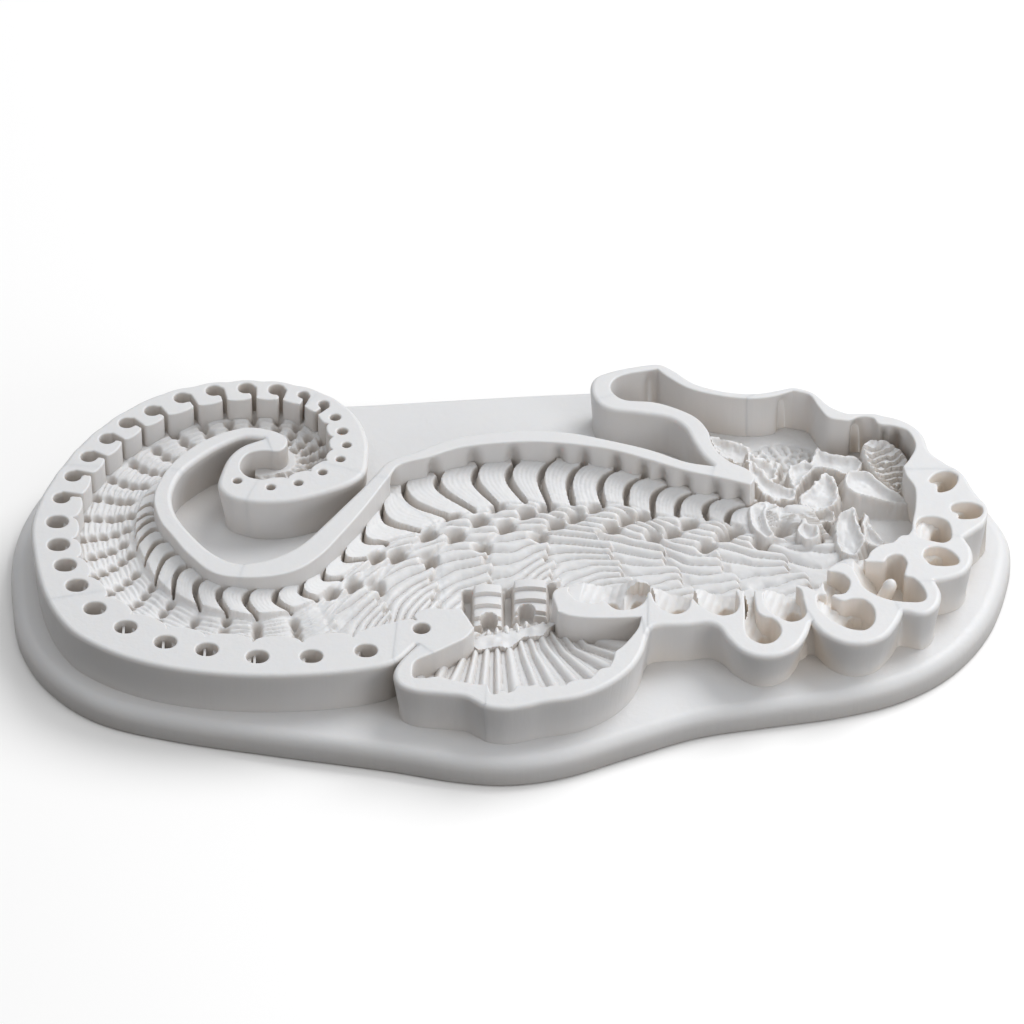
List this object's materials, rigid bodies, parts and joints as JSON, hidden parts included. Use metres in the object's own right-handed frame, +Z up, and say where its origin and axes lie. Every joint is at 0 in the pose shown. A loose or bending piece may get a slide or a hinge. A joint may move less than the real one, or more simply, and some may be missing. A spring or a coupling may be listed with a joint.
{
  "type": "resin casting mould",
  "caption": "One-piece silicone casting mould: rounded slab with a raised rim round an open cavity shaped as a large seahorse in relief, with spine sockets along the rim.",
  "frame": {"origin": "middle of the slab's underside, at the centre of the part's box", "axes": "+X from the tail towards the head, +Y towards the belly side, +Z up out of the open cavity"},
  "size_m": [0.17, 0.1016, 0.0135],
  "materials": {
    "silicone": "matt satin moulded silicone, slightly translucent, light grey"
  },
  "bodies": {
    "root": {"back_lobe_large": "silicone", "back_lobe_middle": "silicone", "back_lobe_pin": "silicone", "back_wall": "silicone", "base_slab": "silicone", "belly_ribs": "silicone", "belly_wall": "silicone", "cheek_plate": "silicone", "core_pin": "silicone", "crest_block": "silicone", "crown_lobe_lower": "silicone", "crown_lobe_upper": "silicone", "curl_ribs": "silicone", "curl_tongue": "silicone", "eye_ring": "silicone", "fin_crescent": "silicone", "fin_floor": "silicone", "fin_wall_left": "silicone", "fin_wall_right": "silicone", "gill_plate": "silicone", "head_wall": "silicone", "inner_wall_left": "silicone", "inner_wall_right": "silicone", "inner_wall_top": "silicone", "jaw_wall": "silicone", "snout_wall": "silicone", "tail_floor_curl": "silicone", "tail_floor_left": "silicone", "tail_floor_lower": "silicone", "tail_floor_top": "silicone", "tail_wall_curl": "silicone", "tail_wall_left": "silicone", "tail_wall_lower": "silicone", "tail_wall_root": "silicone", "tail_wall_tip": "silicone", "tail_wall_top": "silicone", "trunk_floor_head": "silicone", "trunk_floor_middle": "silicone", "trunk_floor_tail": "silicone", "vertebra_block_1": "silicone", "vertebra_block_2": "silicone"}
  },
  "joints": []
}
